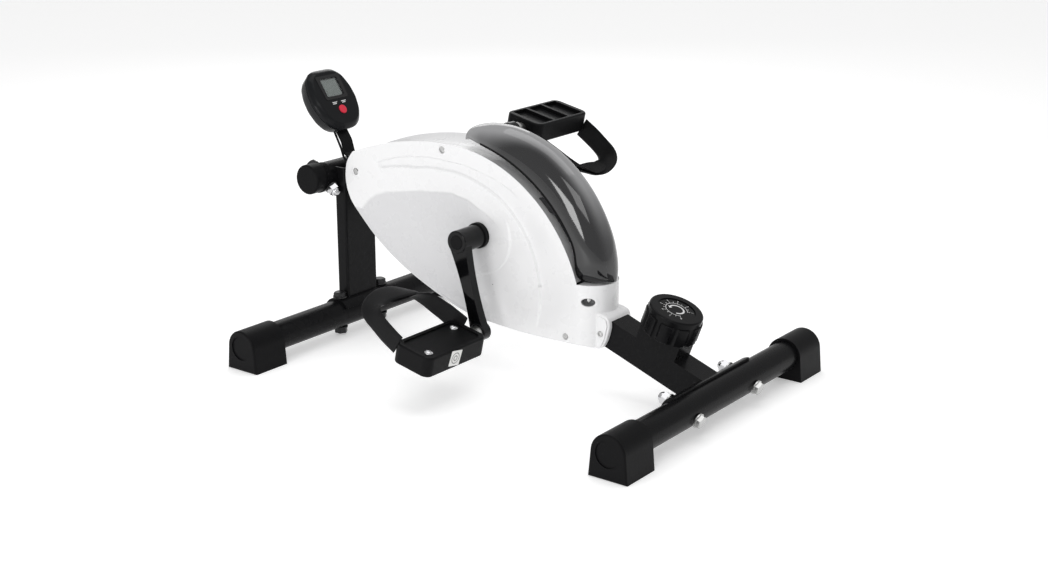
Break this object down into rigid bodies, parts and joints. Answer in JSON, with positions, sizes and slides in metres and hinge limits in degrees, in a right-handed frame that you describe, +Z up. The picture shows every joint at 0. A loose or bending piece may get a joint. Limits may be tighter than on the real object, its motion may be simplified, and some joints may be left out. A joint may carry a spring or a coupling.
{
  "type": "pedal exerciser",
  "caption": "Low magnetic mini cycle: white housing with a smoked cover, cranks with strapped pedals, a load knob on a sloping arm, a small monitor and two floor bars.",
  "frame": {"origin": "Middle of the bounding box's floor area: the centre of the space the object takes up, at floor height.", "axes": "+Z up. +X runs along the object towards the load knob and the user. +Y is the far side, away from the pedal at the bottom of its stroke."},
  "size_m": [0.5666, 0.382, 0.2987],
  "materials": {
    "frame_paint": "black satin powder coat",
    "zinc_steel": "bright zinc plate",
    "chrome": "polished chrome plate",
    "bare_steel": "turned and oiled",
    "cast_wheel": "machined rim, painted web",
    "white_shell": "white gloss",
    "smoked_shell": "very dark smoke, high gloss",
    "black_plastic": "fine matte grain",
    "crank_black": "gloss black",
    "pedal_black": "matte grain",
    "strap_black": "matte moulded",
    "foot_rubber": "matte moulded",
    "belt_rubber": "ribbed",
    "knob_black": "satin grain",
    "monitor_grey": "dark grey satin",
    "lens_clear": "clear, slightly tinted",
    "lcd": "grey-green film",
    "button_red": "red satin",
    "lead_black": "smooth sheath",
    "magnet": "sintered ferrite",
    "sensor_black": "matte"
  },
  "bodies": {
    "frame": {"front_stabilizer": "frame_paint", "rear_stabilizer": "frame_paint", "front_foot_near": "foot_rubber", "front_foot_far": "foot_rubber", "rear_foot_near": "foot_rubber", "rear_foot_far": "foot_rubber", "rear_post": "frame_paint", "rear_saddle": "frame_paint", "arm_tube": "frame_paint", "front_saddle": "frame_paint", "frame_plate_near": "frame_paint", "frame_plate_far": "frame_paint", "plate_spacers": "zinc_steel", "crank_bearings": "bare_steel", "axle_collars": "black_plastic", "frame_bolts": "zinc_steel", "frame_washers": "zinc_steel", "cap_nuts": "chrome", "handle_bar": "frame_paint", "handle_caps": "foot_rubber", "handle_saddle": "frame_paint", "near_shell": "white_shell", "far_shell": "white_shell", "smoked_cover": "smoked_shell", "shell_screws": "zinc_steel", "flywheel_axle": "bare_steel", "axle_nuts": "zinc_steel", "drive_belt": "belt_rubber", "bracket_pin": "bare_steel", "tension_cable": "lead_black", "speed_sensor": "sensor_black", "knob_bracket": "frame_paint", "monitor_strip": "frame_paint", "monitor_rear_shell": "monitor_grey", "monitor_front_shell": "monitor_grey", "monitor_lens": "lens_clear", "lcd_panel": "lcd", "monitor_lead": "lead_black"},
    "crankset": {"crank_axle": "bare_steel", "drive_pulley": "black_plastic", "near_crank": "crank_black", "far_crank": "crank_black", "crank_caps": "black_plastic", "near_spindle": "bare_steel", "far_spindle": "bare_steel", "sensor_magnet": "magnet"},
    "near_pedal": {"near_pedal_body": "pedal_black", "near_strap": "strap_black", "near_rivets": "chrome"},
    "far_pedal": {"far_pedal_body": "pedal_black", "far_strap": "strap_black", "far_rivets": "chrome"},
    "flywheel_set": {"flywheel": "cast_wheel", "flywheel_bearings": "bare_steel", "flywheel_pulley": "zinc_steel"},
    "magnet_carrier": {"magnet_bracket": "zinc_steel", "brake_magnets": "magnet"},
    "knob_set": {"load_knob": "knob_black", "knob_spindle": "zinc_steel"},
    "button": {"reset_button": "button_red"}
  },
  "joints": [
    {"name": "crank_spin", "type": "hinge", "parent": "frame", "child": "crankset", "pos_m": [-0.01765, 0, 0.152], "axis": [0, 1, 0], "continuous": true},
    {"name": "near_pedal_spin", "type": "hinge", "parent": "crankset", "child": "near_pedal", "pos_m": [0.00854, -0.127, 0.05756], "axis": [0, 1, 0], "continuous": true},
    {"name": "far_pedal_spin", "type": "hinge", "parent": "crankset", "child": "far_pedal", "pos_m": [-0.04384, 0.127, 0.24644], "axis": [0, 1, 0], "continuous": true},
    {"name": "flywheel_spin", "type": "hinge", "parent": "frame", "child": "flywheel_set", "pos_m": [0.05835, -0.005, 0.14], "axis": [0, 1, 0], "continuous": true},
    {"name": "knob_turn", "type": "hinge", "parent": "frame", "child": "knob_set", "pos_m": [0.20295, 0, 0.07882], "axis": [-0.342, 0, -0.9397], "range_deg": [0, 315]},
    {"name": "magnet_swing", "type": "hinge", "parent": "frame", "child": "magnet_carrier", "pos_m": [-0.00377, -0.005, 0.11234], "axis": [0, 1, 0], "range_deg": [-4, 0]},
    {"name": "button_press", "type": "slide", "parent": "frame", "child": "button", "axis": [-0.829, 0, -0.5592], "range_m": [0, 0.001], "stiffness_N_per_m": 300, "springref_m": -0.001}
  ],
  "couplings": [
    {"joint": "flywheel_spin", "follows": "crank_spin", "ratio": 6},
    {"joint": "magnet_swing", "follows": "knob_turn", "ratio": -0.012698}
  ]
}
